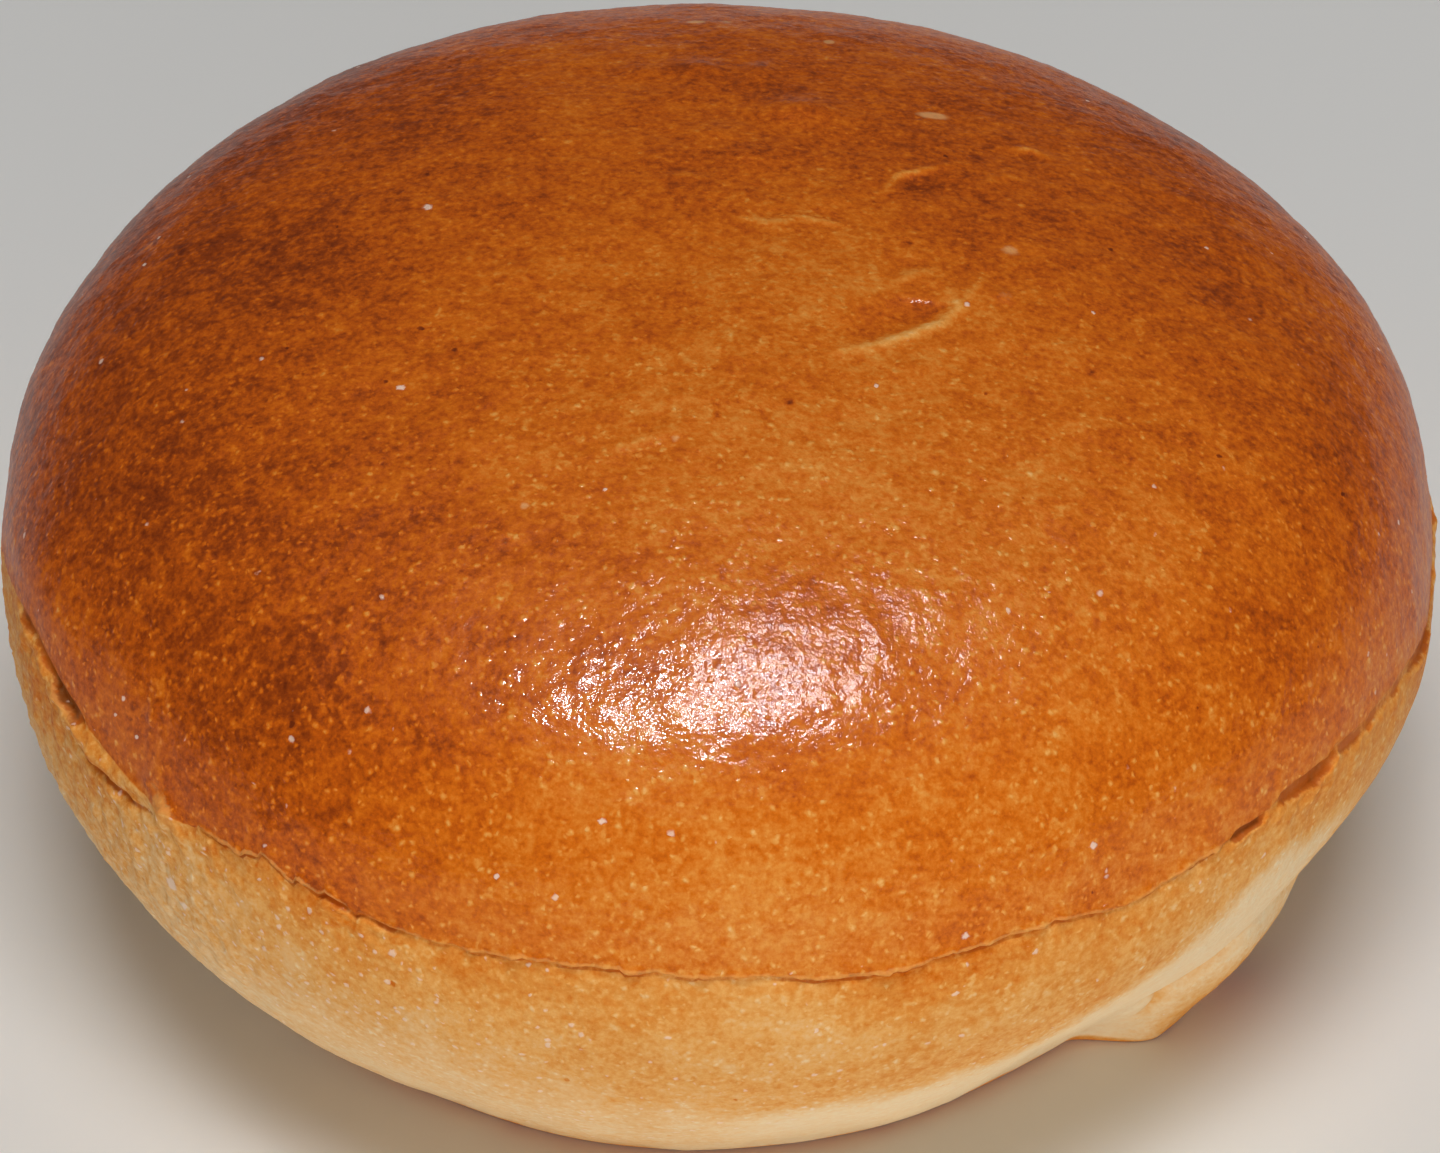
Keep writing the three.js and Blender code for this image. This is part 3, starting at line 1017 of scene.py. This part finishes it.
def add_floor():
    half, below = FLOOR_HALF * MM, -FLOOR_DROP * MM
    corners = [(-half, -half, below), (half, -half, below), (half, half, below), (-half, half, below)]
    mesh = bpy.data.meshes.new("floor")
    mesh.from_pydata(corners, [], [(0, 1, 2, 3)])
    material = bpy.data.materials.new("pale_floor")
    material.use_nodes = True
    shader = material.node_tree.nodes["Principled BSDF"]
    shader.inputs["Base Color"].default_value = FLOOR_COLOUR
    shader.inputs["Roughness"].default_value = 0.9
    mesh.materials.append(material)
    floor = bpy.data.objects.new("floor", mesh)
    bpy.context.scene.collection.objects.link(floor)


def add_lamp(name, direction, distance, size, power, turn=0.0, reflected=True, only_reflected=False):
    """A soft lamp that many metres from the bun, in a direction, facing it.

    The size is its width and length in metres, the power is in watts, and the turn is in radians about
    the line to the bun.
    """
    lamp = bpy.data.lights.new(name, "AREA")
    lamp.shape = "RECTANGLE"
    lamp.size, lamp.size_y = size
    lamp.energy = power
    made = bpy.data.objects.new(name, lamp)
    centre = Vector((0, 0, WIDEST_HEIGHT * MM))
    made.matrix_world = aimed(centre + Vector(direction).normalized() * distance, centre, turn)
    made.visible_glossy = reflected
    made.visible_diffuse = not only_reflected
    bpy.context.scene.collection.objects.link(made)


def add_light():
    """Two small lamps that only the glaze shows, and two large ones that only light the skin."""
    add_lamp("ceiling_tube", (0.14, -0.09, 1), 1.0, (0.4, 0.1), 7.0, turn=0.7, only_reflected=True)
    add_lamp("ceiling_bulb", (-0.03, -0.24, 1), 1.0, (0.05, 0.05), 7.5, only_reflected=True)
    add_lamp("ceiling_fill", (0.0, -0.25, 1), 1.0, (0.5, 0.3), 5.6, reflected=False)
    add_lamp("front_window", (0.2, -1.0, 0.05), 1.2, (1.2, 0.6), 9.2, reflected=False)
    world = bpy.data.worlds.new("studio")
    world.use_nodes = True
    background = world.node_tree.nodes["Background"]
    background.inputs["Color"].default_value = (1, 1, 1, 1)
    background.inputs["Strength"].default_value = WORLD_STRENGTH
    bpy.context.scene.world = world


def add_camera():
    """A long lens, from the side that -Y faces and above, rolled by a touch as a hand-held shot is."""
    elevation = math.radians(CAMERA_ELEVATION)
    middle = Vector((0, 0, HEIGHT / 2))
    spot = middle + CAMERA_DISTANCE * Vector((0, -math.cos(elevation), math.sin(elevation)))
    picture_up = Vector((0, math.sin(elevation), math.cos(elevation)))
    target = middle + Vector((AIM_RIGHT, 0, 0)) - AIM_BELOW * picture_up
    lens = bpy.data.cameras.new("camera")
    lens.sensor_width = SENSOR
    lens.lens = LENS
    lens.clip_start = 0.01
    made = bpy.data.objects.new("camera", lens)
    made.matrix_world = aimed(spot * MM, target * MM, CAMERA_ROLL)
    bpy.context.scene.collection.objects.link(made)
    bpy.context.scene.camera = made


bpy.context.scene.view_settings.view_transform = "Standard"
add_camera()
add_floor()
add_light()
skin_piece = bun()
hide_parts("bun")
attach(skin_piece, "root")
